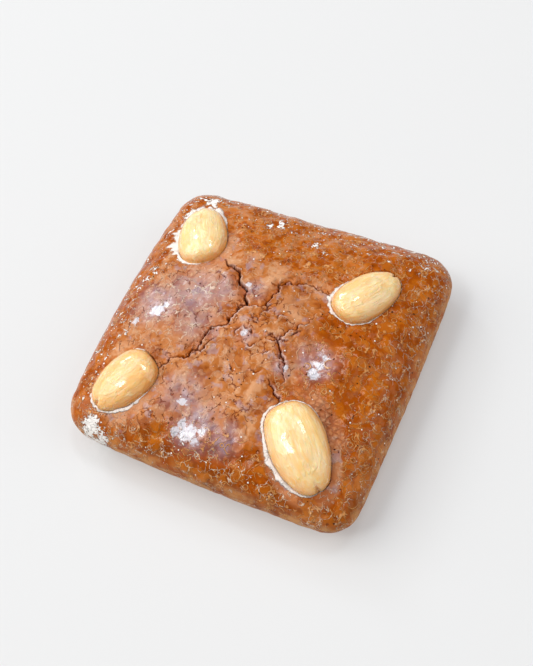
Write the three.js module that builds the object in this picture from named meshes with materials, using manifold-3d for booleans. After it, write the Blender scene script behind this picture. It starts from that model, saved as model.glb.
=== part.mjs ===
// A square honey lebkuchen: a domed, cracked biscuit with a blanched almond pressed in near each corner.
// Millimetres, +Z up. The origin is the middle of the flat base, and X and Y run along the sides.

import * as THREE from "three";
import { mergeVertices } from "three/addons/utils/BufferGeometryUtils.js";
import Module from "manifold-3d";

const wasm = await Module();
wasm.setup();

// Driving dimensions of the biscuit
const SIDE = 80;
const CROWN_HEIGHT = 22.5;
const WAIST_HEIGHT = 9; // where the walls bulge furthest out
const BASE_SIDE = 68; // the flat patch that rests on the table
const SHOULDER_PULL = 10; // how high the wall climbs before it turns over onto the crown
const CROWN_PULL = 18; // how far the crown stays level from its middle

// How the plan departs from a true square, corner by corner, counter-clockwise from +X +Y.
// The bow belongs to the side that follows the corner.
const CORNERS = [
  { signs: [1, 1], reach: [0.75, 0.85], radius: 9.2, bow: 0.0 },
  { signs: [-1, 1], reach: [-0.25, -0.3], radius: 9.0, bow: 1.4 },
  { signs: [-1, -1], reach: [-0.6, -0.55], radius: 9.2, bow: 0.7 },
  { signs: [1, -1], reach: [0.05, 0.4], radius: 8.3, bow: 0.5 },
];
const CIRCLE_HANDLE = 0.5523; // Bezier handle length that draws a quarter circle of radius 1

// Swells and hollows that baking leaves in the crown: height, wavelength, compass heading and phase
const SWELLS = [
  { height: 0.35, wavelength: 31, heading: 0.4, phase: 1.1 },
  { height: 0.28, wavelength: 23, heading: 1.9, phase: 2.7 },
  { height: 0.18, wavelength: 14, heading: 2.8, phase: 0.6 },
];

// Almonds: where each lies in plan, the heading of its tip, its size, and how far its middle is sunk
const ALMONDS = [
  { name: "almond_right", at: [22.8, 18.2], tip: 58, length: 19.8, width: 12.0, thick: 8.0, sunk: 1.6 },
  { name: "almond_back", at: [-26.0, 21.3], tip: 117, length: 19.4, width: 13.8, thick: 8.8, sunk: 1.5 },
  { name: "almond_left", at: [-25.5, -25.8], tip: -123, length: 18.4, width: 13.0, thick: 8.2, sunk: 1.6 },
  { name: "almond_front", at: [22.5, -26.5], tip: -49, length: 22.8, width: 14.4, thick: 9.0, sunk: 1.6 },
];
const ALMOND_TAPER = 0.14; // the tip end is this much slimmer than the blunt end is stout
const ALMOND_FULLNESS = 0.12; // swells the ends past those of an ellipsoid, towards a rounded block
const ALMOND_STOUTEST = 1.01; // what the taper adds at the almond's widest ring
const POCKET_GAP = 0.3; // clearance between an almond and the dough round it
const DIMPLE_DEPTH = 0.9; // how far the dough is pressed down at an almond's edge
const DIMPLE_REACH = 5; // how far from the almond that dip dies out

// Cracks in the crown. Each route lists only its turning points, and the jags are worked out between them.
// The ends tell how wide a crack still is at its start and its finish, as a share of its full width.
const JUNCTION = [-4.5, 3.1]; // where the two deepest cracks meet
const FORK = [7.4, -3.3]; // where a thin crack leaves the front one
const CRACKS = [
  {
    route: [
      [-18.4, -20.1],
      [-15.7, -16.3],
      [-12.8, -15.7],
      [-10.9, -10.1],
      [-8.5, -4.5],
      [-6.6, -3.7],
      JUNCTION,
    ],
    width: 1.8,
    depth: 3.6,
    ends: [0.35, 1],
  },
  {
    route: [JUNCTION, [-2.7, 3.6], [1.9, 9.7], [0.9, 12.1], [6.2, 14.2], [10.1, 14.7], [13.9, 14.2]],
    width: 1.3,
    depth: 2.8,
    ends: [1, 0.25],
  },
  {
    route: [[-16, 15], [-13.6, 13], [-10.1, 12.1], [-9.4, 10.2], [-5.9, 6.1], JUNCTION],
    width: 1.7,
    depth: 3.2,
    ends: [0.25, 0.8],
  },
  {
    route: [[3.1, -2.4], FORK, [9.9, -7.2], [11.3, -8.4], [12.7, -13.4]],
    width: 1.2,
    depth: 2.4,
    ends: [0.2, 0.3],
  },
  {
    route: [[8.7, -13.3], [10.8, -15.1], [12.5, -16.7], [14.2, -22]],
    width: 1.0,
    depth: 2,
    ends: [0.2, 0.5],
  },
  {
    route: [FORK, [10.4, 1], [10.3, 2.5], [12.9, 7.8]],
    width: 0.8,
    depth: 1.4,
    ends: [0.8, 0.2],
  },
  {
    route: [[-11.7, -13.9], [-9.6, -12.8], [-8.9, -10.3], [-7.5, -7.8]],
    width: 0.9,
    depth: 1.5,
    ends: [0.6, 0.2],
  },
  {
    route: [[-4.3, -0.9], [-2.7, -2.7], [-1, -5], [0.6, -8.4]],
    width: 2.2,
    depth: 1.2,
    ends: [0.2, 0.4],
  },
];
const JAG = 0.16; // sideways throw of a jag, as a share of the stretch it breaks
const JAG_SEED = 7;
const BLADE_RISE = 1.5; // how far a crack's cutting wedge stands above the crown
const SLOPE_SPAN = 3; // how far to each side of an almond the slope under it is read

// Facets
const ROUND_STEPS = 104;
const HEEL_STEPS = 6;
const CROWN_STEPS = 24;
const ALMOND_AROUND = 24;
const ALMOND_ALONG = 16;
const RING_POINTS = 720; // points of the waist's outline that plan directions are looked up in
const HALVINGS = 30; // rounds of halving that find a height on the section's curve
const WELD = 1e-4; // corners closer than this are one corner

const HALF = SIDE / 2;
const FULL_TURN = 2 * Math.PI;

// Seeded random numbers from 0 to 1, so that every build breaks the crown the same way.
function seededRandom(seed) {
  const factor = 1664525;
  const shift = 1013904223;
  const range = 2 ** 32;
  let state = seed;
  return () => {
    state = (state * factor + shift) % range;
    return state / range;
  };
}

// The plan at the waist: four rounded corners joined by bowed sides.
function planOutline() {
  const tips = CORNERS.map(
    ({ signs, reach }) => new THREE.Vector2(signs[0] * (HALF + reach[0]), signs[1] * (HALF + reach[1])),
  );
  const towards = (from, to, distance) => from.clone().add(to.clone().sub(from).setLength(distance));
  const rounded = CORNERS.map(({ radius }, k) => ({
    enter: towards(tips[k], tips[(k + 3) % 4], radius),
    leave: towards(tips[k], tips[(k + 1) % 4], radius),
  }));
  const outline = new THREE.Path();
  outline.moveTo(rounded[0].enter.x, rounded[0].enter.y);
  CORNERS.forEach(({ bow }, k) => {
    const { enter, leave } = rounded[k];
    const first = enter.clone().lerp(tips[k], CIRCLE_HANDLE);
    const second = leave.clone().lerp(tips[k], CIRCLE_HANDLE);
    outline.bezierCurveTo(first.x, first.y, second.x, second.y, leave.x, leave.y);
    const next = rounded[(k + 1) % 4].enter;
    const outward = new THREE.Vector2(next.y - leave.y, leave.x - next.x).setLength(2 * bow);
    const pull = leave.clone().lerp(next, 0.5).add(outward);
    outline.quadraticCurveTo(pull.x, pull.y, next.x, next.y);
  });
  return outline;
}

// The upright section, from the middle of the base round the wall to the middle of the crown.
const crownCurve = new THREE.CubicBezierCurve(
  new THREE.Vector2(HALF, WAIST_HEIGHT),
  new THREE.Vector2(HALF, WAIST_HEIGHT + SHOULDER_PULL),
  new THREE.Vector2(CROWN_PULL, CROWN_HEIGHT),
  new THREE.Vector2(0, CROWN_HEIGHT),
);
function uprightSection() {
  const base = BASE_SIDE / 2;
  const heel = new THREE.CubicBezierCurve(
    new THREE.Vector2(base, 0),
    new THREE.Vector2(base + (HALF - base) * CIRCLE_HANDLE, 0),
    new THREE.Vector2(HALF, WAIST_HEIGHT * (1 - CIRCLE_HANDLE)),
    new THREE.Vector2(HALF, WAIST_HEIGHT),
  );
  return [
    new THREE.Vector2(0, 0),
    ...heel.getSpacedPoints(HEEL_STEPS),
    ...crownCurve.getSpacedPoints(CROWN_STEPS).slice(1),
  ];
}

const outline = planOutline();
const outlineRing = outline.getSpacedPoints(RING_POINTS);

// How far out a plan point lies, from 0 in the middle to 1 at the waist.
function shareOfReach(x, y) {
  const here = new THREE.Vector2(x, y);
  const agreement = (p) => p.dot(here) / p.length();
  const nearest = outlineRing.reduce((best, p) => (agreement(p) > agreement(best) ? p : best));
  return here.length() / nearest.length();
}

// Height of the plain crown over a plan point.
function plainCrown(x, y) {
  const reach = HALF * Math.min(1, shareOfReach(x, y));
  let low = 0;
  let high = 1;
  for (let round = 0; round < HALVINGS; round++) {
    const middle = (low + high) / 2;
    if (crownCurve.getPoint(middle).x > reach) low = middle;
    else high = middle;
  }
  return crownCurve.getPoint(high).y;
}

// Distance from a plan point to an almond's edge, negative inside it.
function distanceToAlmond(x, y, { at, tip, length, width }) {
  const heading = THREE.MathUtils.degToRad(tip);
  const dx = x - at[0];
  const dy = y - at[1];
  const along = (dx * Math.cos(heading) + dy * Math.sin(heading)) / (length / 2);
  const across = (dy * Math.cos(heading) - dx * Math.sin(heading)) / (width / 2);
  return ((Math.hypot(along, across) - 1) * (length + width)) / 4;
}

// Swells, and the dips that the almonds were pressed into.
function crownRelief(x, y) {
  const swell = SWELLS.reduce((sum, { height, wavelength, heading, phase }) => {
    const along = x * Math.cos(heading) + y * Math.sin(heading);
    return sum + height * Math.sin((FULL_TURN * along) / wavelength + phase);
  }, 0);
  const dip = ALMONDS.reduce((deepest, almond) => {
    const away = Math.max(0, distanceToAlmond(x, y, almond)) / DIMPLE_REACH;
    return Math.max(deepest, DIMPLE_DEPTH * Math.exp(-away * away));
  }, 0);
  return swell - dip;
}

const crownAt = (x, y) => plainCrown(x, y) + crownRelief(x, y);

// A closed triangle mesh as a solid that can be joined and cut.
function solidFrom(geometry) {
  const bare = geometry.clone();
  bare.deleteAttribute("normal");
  bare.deleteAttribute("uv");
  const merged = mergeVertices(bare, WELD);
  return new wasm.Manifold(
    new wasm.Mesh({
      numProp: 3,
      vertProperties: new Float32Array(merged.attributes.position.array),
      triVerts: new Uint32Array(merged.index.array),
    }),
  );
}

function geometryFrom(solid) {
  const { vertProperties, triVerts } = solid.getMesh();
  const geometry = new THREE.BufferGeometry();
  geometry.setAttribute("position", new THREE.BufferAttribute(vertProperties, 3));
  geometry.setIndex(new THREE.BufferAttribute(triVerts, 1));
  return geometry;
}

// Moves every corner of a geometry to the place that a function gives it.
function reshape(geometry, place) {
  const position = geometry.attributes.position;
  for (let i = 0; i < position.count; i++) {
    position.setXYZ(i, ...place(position.getX(i), position.getY(i), position.getZ(i)));
  }
  return geometry;
}

// The uncut loaf: the section turned on a lathe, with each round ring drawn out to the square plan.
function loaf() {
  const turned = new THREE.LatheGeometry(uprightSection(), ROUND_STEPS);
  return reshape(turned, (x, y, z) => {
    const turn = (Math.atan2(x, z) / FULL_TURN + 1) % 1;
    const edge = outline.getPoint(turn).multiplyScalar(Math.hypot(x, z) / HALF);
    const topShare = THREE.MathUtils.smoothstep(y, WAIST_HEIGHT, WAIST_HEIGHT + SHOULDER_PULL);
    return [edge.x, edge.y, y + topShare * crownRelief(edge.x, edge.y)];
  });
}

// Breaks each stretch of a route in two with a sideways jag.
function jaggedRoute(route, random) {
  const turns = route.map(([x, y]) => new THREE.Vector2(x, y));
  return turns.flatMap((turn, i) => {
    if (i === 0) return [turn];
    const stretch = turn.clone().sub(turns[i - 1]);
    const sideways = new THREE.Vector2(-stretch.y, stretch.x).multiplyScalar(JAG * (2 * random() - 1));
    return [turns[i - 1].clone().addScaledVector(stretch, 0.5).add(sideways), turn];
  });
}

// The wedge that a crack takes out of the crown: a three-sided bar bent along the route, its keel down.
function crackWedge({ route, width, depth, ends }, random) {
  const points = jaggedRoute(route, random);
  const steps = points.length - 1;
  const bar = new THREE.CylinderGeometry(1, 1, 1, 3, steps);
  const sideReach = Math.sin(FULL_TURN / 3);
  const topLevel = Math.cos(FULL_TURN / 3);
  return reshape(bar, (x, y, z) => {
    const step = Math.round((0.5 - y) * steps);
    const point = points[step];
    const before = points[Math.max(0, step - 1)];
    const after = points[Math.min(steps, step + 1)];
    const side = new THREE.Vector2(after.y - before.y, before.x - after.x).normalize();
    const share = step / steps;
    const swell = Math.sin(Math.PI * share);
    const open = Math.min(1, ends[0] * (1 - share) + ends[1] * share + swell * (1 - Math.max(...ends)));
    const spread = ((x / sideReach) * width * open * (depth + BLADE_RISE)) / (2 * depth);
    const sink = (z - topLevel) / (1 - topLevel); // 0 along the wedge's top, 1 along its keel
    const level = crownAt(point.x, point.y) + BLADE_RISE - sink * (depth * open + BLADE_RISE);
    return [point.x + side.x * spread, point.y + side.y * spread, level];
  });
}

// A whole almond lying along X with its tip at +X, fattened all round by a margin.
function almondGeometry({ length, width, thick }, margin = 0) {
  const ball = new THREE.SphereGeometry(1, ALMOND_AROUND, ALMOND_ALONG);
  return reshape(ball, (x, y, z) => {
    const full = Math.max(1e-3, 1 - y * y) ** -ALMOND_FULLNESS;
    const stout = (full * (1 - ALMOND_TAPER * y)) / ALMOND_STOUTEST;
    return [y * (length / 2 + margin), z * stout * (width / 2 + margin), x * stout * (thick / 2 + margin)];
  });
}

// Lays an almond on the crown's slope at its own place and heading.
function almondPose({ at, tip, sunk }) {
  const [x, y] = at;
  const slope = (dx, dy) => (plainCrown(x + dx, y + dy) - plainCrown(x - dx, y - dy)) / (2 * SLOPE_SPAN);
  const up = new THREE.Vector3(-slope(SLOPE_SPAN, 0), -slope(0, SLOPE_SPAN), 1).normalize();
  const heading = THREE.MathUtils.degToRad(tip);
  const across = up.clone().cross(new THREE.Vector3(Math.cos(heading), Math.sin(heading), 0)).normalize();
  const along = across.clone().cross(up);
  const position = new THREE.Vector3(x, y, crownAt(x, y)).addScaledVector(up, DIMPLE_DEPTH - sunk);
  return new THREE.Matrix4().makeBasis(along, across, up).setPosition(position);
}

const biscuitCrust = new THREE.MeshStandardMaterial({ color: 0xa9642f, roughness: 0.5, metalness: 0 });
const almondFlesh = new THREE.MeshStandardMaterial({ color: 0xf1d9a0, roughness: 0.4, metalness: 0 });

const lebkuchen = new THREE.Group();

// The biscuit: the loaf, less its cracks and the pockets that hold the almonds
const random = seededRandom(JAG_SEED);
const wedges = CRACKS.map((crack) => solidFrom(crackWedge(crack, random)));
const pockets = ALMONDS.map((almond) => {
  const pocket = almondGeometry(almond, POCKET_GAP).applyMatrix4(almondPose(almond));
  return solidFrom(pocket);
});
const cutBiscuit = [...wedges, ...pockets].reduce((body, cut) => body.subtract(cut), solidFrom(loaf()));
const biscuit = new THREE.Mesh(geometryFrom(cutBiscuit), biscuitCrust);
biscuit.name = "biscuit";
lebkuchen.add(biscuit);

// The almonds, each in its own pocket
for (const almond of ALMONDS) {
  const kernel = new THREE.Mesh(almondGeometry(almond), almondFlesh);
  kernel.name = almond.name;
  kernel.applyMatrix4(almondPose(almond));
  lebkuchen.add(kernel);
}

export default lebkuchen;
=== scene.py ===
# %% [markdown]
# A square honey lebkuchen
#
# The real thing is a pillow of soft gingerbread, about 80 mm square, that cracked as it rose. A sugar glaze
# was brushed on while it was hot, and four blanched almonds sit near its corners. The solids already hold the
# size, the place of each almond and the main cracks. This lesson builds the fine surface over them.

# %% Load the solids
import math

import bmesh
import bpy
import numpy as np
from mathutils import Matrix, Vector, noise
from mathutils.bvhtree import BVHTree


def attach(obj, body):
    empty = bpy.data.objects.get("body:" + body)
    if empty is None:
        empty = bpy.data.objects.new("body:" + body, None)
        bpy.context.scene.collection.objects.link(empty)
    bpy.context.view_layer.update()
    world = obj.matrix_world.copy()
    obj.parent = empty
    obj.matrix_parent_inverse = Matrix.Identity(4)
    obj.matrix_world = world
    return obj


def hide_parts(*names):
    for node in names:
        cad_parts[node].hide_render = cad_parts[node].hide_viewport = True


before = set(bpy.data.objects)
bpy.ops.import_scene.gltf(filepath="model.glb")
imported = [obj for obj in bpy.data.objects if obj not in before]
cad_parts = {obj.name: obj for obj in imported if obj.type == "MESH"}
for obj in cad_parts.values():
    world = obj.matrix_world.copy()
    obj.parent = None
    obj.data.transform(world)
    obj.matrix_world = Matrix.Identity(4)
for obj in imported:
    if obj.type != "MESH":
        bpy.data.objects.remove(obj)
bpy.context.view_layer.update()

MM = 0.001
TINY = 1e-9
print("solids:", sorted(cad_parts))

# %% [markdown]
# The camera
#
# A camera can be placed by eye, or worked out from the object. Here the biscuit's square outline fixes it:
# one elevation, one azimuth and a slight roll make the edges of the solid run along the edges in the picture.

# %% Place the camera
PICTURE_HEIGHT = 666
FOCAL_PIXELS = 968.9
SENSOR = 36.0
VIEW_AZIMUTH = math.radians(32.86)
VIEW_ELEVATION = math.radians(59.33)
VIEW_ROLL = math.radians(-10.41)
VIEW_DISTANCE = 253.8 * MM
VIEW_TARGET = Vector((-0.06, 3.62, 10.0)) * MM


def camera_axes(azimuth, elevation, roll):
    """The camera's right, up and backward directions."""
    level = Vector((math.cos(azimuth), math.sin(azimuth), 0))
    flat = Vector((math.sin(azimuth), -math.cos(azimuth), 0)) * math.cos(elevation)
    back = flat + Vector((0, 0, math.sin(elevation)))
    rise = back.cross(level)
    right = level * math.cos(roll) + rise * math.sin(roll)
    return right, back.cross(right), back


def add_camera():
    data = bpy.data.cameras.new("camera")
    data.sensor_width = SENSOR
    data.lens = FOCAL_PIXELS / PICTURE_HEIGHT * SENSOR
    camera = bpy.data.objects.new("camera", data)
    axes = camera_axes(VIEW_AZIMUTH, VIEW_ELEVATION, VIEW_ROLL)
    turn = Matrix(axes).transposed().to_4x4()
    camera.matrix_world = Matrix.Translation(VIEW_TARGET + axes[2] * VIEW_DISTANCE) @ turn
    bpy.context.scene.collection.objects.link(camera)
    bpy.context.scene.camera = camera
    return camera


camera = add_camera()
print("lens: %.1f mm" % camera.data.lens)

# %% [markdown]
# Floor and light
#
# The biscuit lies on a plain white floor that glows a little, as a light table does. One lamp could light it
# all, but then wet glaze shows a single hard spot. Here a broad cool window behind and to the left lays the
# lilac sheen on the glaze, a warm key from the left throws the shadow, and a fill from the right opens it.
# Three small panels stand where the glaze mirrors them as glints.

# %% Lay the floor and hang the lights
FLOOR_HALF = 4.0
PAPER = {
    "Base Color": (0.495, 0.495, 0.495, 1.0),
    "Emission Color": (1.0, 1.0, 1.0, 1.0),
    "Emission Strength": 0.27,
    "Roughness": 0.9,
    "Specular IOR Level": 0.1,
}
SKY = {"Color": (1.0, 1.0, 1.0, 1.0), "Strength": 0.2}
PANEL_DISTANCE = 2.0
DAYLIGHT = (0.94, 0.96, 1.0)
LAMPLIGHT = (1.0, 0.96, 0.9)
WARM = (1.0, 0.97, 0.94)
COOL = (0.86, 0.93, 1.0)
# Each panel: its name, the direction it stands in, its width in metres, its watts and its tint.
PANELS = (
    ("window", (-0.5, 0.25, 0.83), 1.8, 16.5, DAYLIGHT),
    ("key", (-0.68, -0.24, 0.66), 1.7, 26.5, LAMPLIGHT),
    ("fill", (0.75, 0.15, 0.6), 1.5, 11.0, WARM),
    ("glint_front", (-0.37, -0.37, 0.853), 0.42, 6.0, COOL),
    ("glint_left", (-0.73, 0.42, 0.535), 0.36, 4.5, COOL),
    ("glint_right", (0.068, 0.335, 0.94), 0.34, 5.0, COOL),
)


def set_inputs(node, values):
    for name, value in values.items():
        node.inputs[name].default_value = value


def add_floor():
    sheet = bmesh.new()
    bmesh.ops.create_grid(sheet, x_segments=1, y_segments=1, size=FLOOR_HALF)
    mesh = bpy.data.meshes.new("floor")
    sheet.to_mesh(mesh)
    sheet.free()
    paper = bpy.data.materials.new("white_paper")
    paper.use_nodes = True
    set_inputs(paper.node_tree.nodes["Principled BSDF"], PAPER)
    mesh.materials.append(paper)
    floor = bpy.data.objects.new("floor", mesh)
    bpy.context.scene.collection.objects.link(floor)


def add_panel(name, towards, width, watts, tint):
    """A soft panel that faces the biscuit from a direction."""
    data = bpy.data.lights.new(name, "AREA")
    data.shape = "SQUARE"
    data.size = width
    data.energy = watts
    data.color = tint
    panel = bpy.data.objects.new(name, data)
    place = Vector(towards).normalized() * PANEL_DISTANCE
    turn = place.to_track_quat("Z", "Y").to_matrix().to_4x4()
    panel.matrix_world = Matrix.Translation(place) @ turn
    bpy.context.scene.collection.objects.link(panel)


def add_sky():
    world = bpy.data.worlds.new("studio")
    world.use_nodes = True
    set_inputs(world.node_tree.nodes["Background"], SKY)
    bpy.context.scene.world = world


add_floor()
for panel in PANELS:
    add_panel(*panel)
add_sky()
bpy.context.scene.view_settings.view_transform = "Standard"
print("one floor and", len(PANELS), "panels")

# %% [markdown]
# How each almond lies
#
# The solids already say where the almonds are, so nothing is typed in again. The spread of a solid's corners
# along three directions gives its length, width and thickness, and its slimmer end is the tip.

# %% Read the almonds' places from their solids
ALMOND_NAMES = ("almond_right", "almond_back", "almond_left", "almond_front")
END_SHARE = 0.6


def almond_place(name):
    """An almond's middle and half sizes in millimetres, and its axes: along, across and up."""
    corners = np.array([v.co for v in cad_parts[name].data.vertices]) / MM
    middle = corners.mean(axis=0)
    up, across, along = np.linalg.eigh(np.cov((corners - middle).T))[1].T
    up = up * np.sign(up[2])
    reach = (corners - middle) @ along
    breadth = np.abs((corners - middle) @ across)
    near_end = END_SHARE * reach.max()
    if breadth[reach > near_end].max() > breadth[reach < -near_end].max():
        along = -along
    axes = np.stack([along, np.cross(up, along), up])
    local = (corners - middle) @ axes.T
    most, least = local.max(axis=0), local.min(axis=0)
    return {"middle": middle + (most + least) / 2 @ axes, "axes": axes, "half": (most - least) / 2}


places = {name: almond_place(name) for name in ALMOND_NAMES}
for name, place in places.items():
    print(name, "half sizes", np.round(place["half"], 1), "at", np.round(place["middle"], 1))

# %% [markdown]
# Bending a mesh with arrays
#
# Each piece starts as a plain shape from a bmesh operator. Its points are read into an array, moved all at
# once by a formula and written back, which is shorter than moving them one by one. Sizes are in millimetres
# until a piece is finished. A piece can also keep numbers on its points, for its material to read.

# %% Short calls for meshes


def points_of(shape):
    return np.array([v.co for v in shape.verts])


def move_points(shape, points):
    for vert, point in zip(shape.verts, points):
        vert.co = point


def make_piece(shape, name):
    """Turns a shape in millimetres into a smooth object in metres."""
    bmesh.ops.scale(shape, vec=(MM, MM, MM), verts=shape.verts)
    mesh = bpy.data.meshes.new(name)
    shape.to_mesh(mesh)
    shape.free()
    mesh.shade_smooth()
    piece = bpy.data.objects.new(name, mesh)
    bpy.context.scene.collection.objects.link(piece)
    return piece


def store(piece, name, values):
    """Keeps a number or a vector for each point of a piece."""
    kind, field = ("FLOAT", "value") if values.ndim == 1 else ("FLOAT_VECTOR", "vector")
    layer = piece.data.attributes.new(name, kind, "POINT")
    layer.data.foreach_set(field, values.astype(np.float32).ravel())


print("mesh calls are ready")

# %% [markdown]
# The almonds
#
# A blanched almond is an egg drawn out to a blunt tip, with faint grooves along it where its skin sat and a
# small cleft at the tip. A ball with its poles at the two ends has its mesh lines running lengthwise already,
# so the grooves follow them.

# %% Shape the almonds
ALMOND_SEGMENTS = 88
ALMOND_RINGS = 64
ALMOND_TAPER = 0.14
ALMOND_FULLNESS = 0.12
ALMOND_STOUTEST = 1.01
RING_LEAST = 0.001
POLE_SHARE = 0.9999
GROOVES = 11
GROOVE_DEPTH = 0.010
GROOVE_SWING = 1.8
GROOVE_WAVES = 2.3
ALMOND_LUMPS = ((7.0, 0.22), (2.4, 0.12), (1.3, 0.04))
CLEFT_DEPTH = 0.9
CLEFT_SIDE = 0.12
CLEFT_WIDTH = 0.07
CLEFT_START = 0.78
CLEFT_RUN = 0.2
CLEFT_FADE = 3.0
CLEFT_LOWEST = 0.6
SEED_STEP = 1.7
ROASTS = {"almond_right": 0.42, "almond_back": 0.3, "almond_left": 0.75, "almond_front": 0.4}


def almond_ring(share):
    """How stout the almond is at a share of its half length, from -1 at the blunt end to 1 at the tip."""
    inside = np.maximum(RING_LEAST, 1 - share * share)
    return np.sqrt(inside) * inside ** -ALMOND_FULLNESS * (1 - ALMOND_TAPER * share) / ALMOND_STOUTEST


def almond_form(ball, seed):
    """Moves the points of a unit ball to a grooved almond of unit half sizes."""
    share = np.clip(ball[:, 2], -1, 1)
    turn = np.arctan2(ball[:, 1], ball[:, 0])
    bend = GROOVE_SWING * np.sin(GROOVE_WAVES * share + seed)
    hollow = 0.5 + 0.5 * np.sin(GROOVES * turn + bend)
    ring = almond_ring(share) * (1 - GROOVE_DEPTH * hollow * (1 - share**4))
    ring[np.abs(share) > POLE_SHARE] = 0
    return np.stack([share, np.cos(turn) * ring, np.sin(turn) * ring], axis=1)


def almond_relief(form, local, seed):
    """The height in millimetres of soft lumps, less the cleft on the upper side of the tip."""
    height = np.zeros(len(local))
    for size, rise in ALMOND_LUMPS:
        height += rise * np.array([noise.noise(Vector(p) / size + Vector((seed, 0, 0))) for p in local])
    along, across, up = form.T
    cleft = np.exp(-(((across - CLEFT_SIDE) / CLEFT_WIDTH) ** 2))
    cleft *= np.clip((along - CLEFT_START) / CLEFT_RUN, 0, 1) * np.clip(up * CLEFT_FADE + CLEFT_LOWEST, 0, 1)
    return height - CLEFT_DEPTH * cleft


def make_almond(name, seed):
    place = places[name]
    shape = bmesh.new()
    bmesh.ops.create_uvsphere(shape, u_segments=ALMOND_SEGMENTS, v_segments=ALMOND_RINGS, radius=1)
    form = almond_form(points_of(shape), seed)
    local = form * place["half"]
    outward = form / (np.linalg.norm(form, axis=1, keepdims=True) + TINY)
    local = local + outward * almond_relief(form, local, seed)[:, None]
    move_points(shape, local @ place["axes"] + place["middle"])
    bmesh.ops.recalc_face_normals(shape, faces=shape.faces)
    skin = BVHTree.FromBMesh(shape)
    piece = make_piece(shape, name + "_kernel")
    store(piece, "kernel", form)
    store(piece, "roast", np.full(len(form), ROASTS[name]))
    return piece, skin


almonds = {}
skins = {}
for number, name in enumerate(ALMOND_NAMES):
    almonds[name], skins[name] = make_almond(name, SEED_STEP * number)
    print(almonds[name].name, len(almonds[name].data.polygons), "faces")

# %% [markdown]
# The pillow's outline and section
#
# Seen from above, the biscuit is a square with rounded corners and slightly bowed sides. Its section is two
# curves: a tucked-in heel from the base to the waist, and a crown from the waist to the middle. These are the
# same curves that shaped the solid.

# %% Draw the outline and the section
HALF = 40.0
CROWN_HEIGHT = 22.5
WAIST_HEIGHT = 9.0
BASE_HALF = 34.0
SHOULDER_PULL = 10.0
CROWN_PULL = 18.0
CIRCLE_HANDLE = 0.5523
CURVE_STEPS = 200
CURVE_SHARES = np.linspace(0, 1, CURVE_STEPS)
# Each corner: its sharp tip, its rounding, and how far the side after it bows out.
CORNERS = (
    ((40.75, 40.85), 9.2, 0.0),
    ((-39.75, 39.7), 9.0, 1.4),
    ((-39.4, -39.45), 9.2, 0.7),
    ((40.05, -40.4), 8.3, 0.5),
)
CROWN_CURVE = (
    (0, CROWN_HEIGHT),
    (CROWN_PULL, CROWN_HEIGHT),
    (HALF, WAIST_HEIGHT + SHOULDER_PULL),
    (HALF, WAIST_HEIGHT),
)
HEEL_CURVE = (
    (HALF, WAIST_HEIGHT),
    (HALF, WAIST_HEIGHT * (1 - CIRCLE_HANDLE)),
    (BASE_HALF + (HALF - BASE_HALF) * CIRCLE_HANDLE, 0),
    (BASE_HALF, 0),
)


def bezier(points):
    """Points along a Bezier curve of any degree."""
    layer = [np.outer(np.ones_like(CURVE_SHARES), p) for p in points]
    while len(layer) > 1:
        layer = [a + (b - a) * CURVE_SHARES[:, None] for a, b in zip(layer, layer[1:])]
    return layer[0]


def evenly(points):
    """The same line as a function of the share of its length."""
    steps = np.linalg.norm(np.diff(points, axis=0), axis=1)
    length = np.concatenate([[0], np.cumsum(steps)])
    share = length / length[-1]
    return lambda s: np.stack([np.interp(s, share, line) for line in points.T], axis=-1)


def corner_curve(k):
    """Where corner k's rounding starts, its two handles, and where it ends."""
    tip = np.array(CORNERS[k][0])
    radius = CORNERS[k][1]
    ends = []
    for other in (k - 1, (k + 1) % 4):
        away = np.array(CORNERS[other][0]) - tip
        ends.append(tip + away / np.linalg.norm(away) * radius)
    handles = [end + (tip - end) * CIRCLE_HANDLE for end in ends]
    return [ends[0], handles[0], handles[1], ends[1]]


def side_line(k):
    """The outline from the middle of corner k to the middle of the next corner, evenly spaced."""
    first = bezier(corner_curve(k))[CURVE_STEPS // 2 :]
    last = bezier(corner_curve((k + 1) % 4))[: CURVE_STEPS // 2 + 1]
    start, end = first[-1], last[0]
    run = end - start
    outward = np.array([run[1], -run[0]]) / np.linalg.norm(run)
    side = bezier([start, (start + end) / 2 + outward * 2 * CORNERS[k][2], end])
    return evenly(np.concatenate([first, side[1:-1], last]))


side_lines = [side_line(k) for k in range(4)]
crown_line = evenly(bezier(CROWN_CURVE))
heel_line = evenly(bezier(HEEL_CURVE))
print("waist at", crown_line(1.0), "mm")

# %% [markdown]
# The cracks
#
# As the dough rose, its skin tore in lines that run from almond to almond. A crack could be painted, but then
# it would have no depth from the side. Here each one is a jagged line with a width and a depth, and the
# surface is pressed down along it.

# %% Lay out the cracks
JUNCTION = (-4.5, 3.1)
FORK = (7.4, -3.3)


def crack(width, depth, rolled, ends, route, slot=1.0):
    """A crack's width and depth, the side that rolls under, how open its ends are, its route and its slot."""
    return {"width": width, "depth": depth, "rolled": rolled, "ends": ends, "route": route, "slot": slot}


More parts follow.
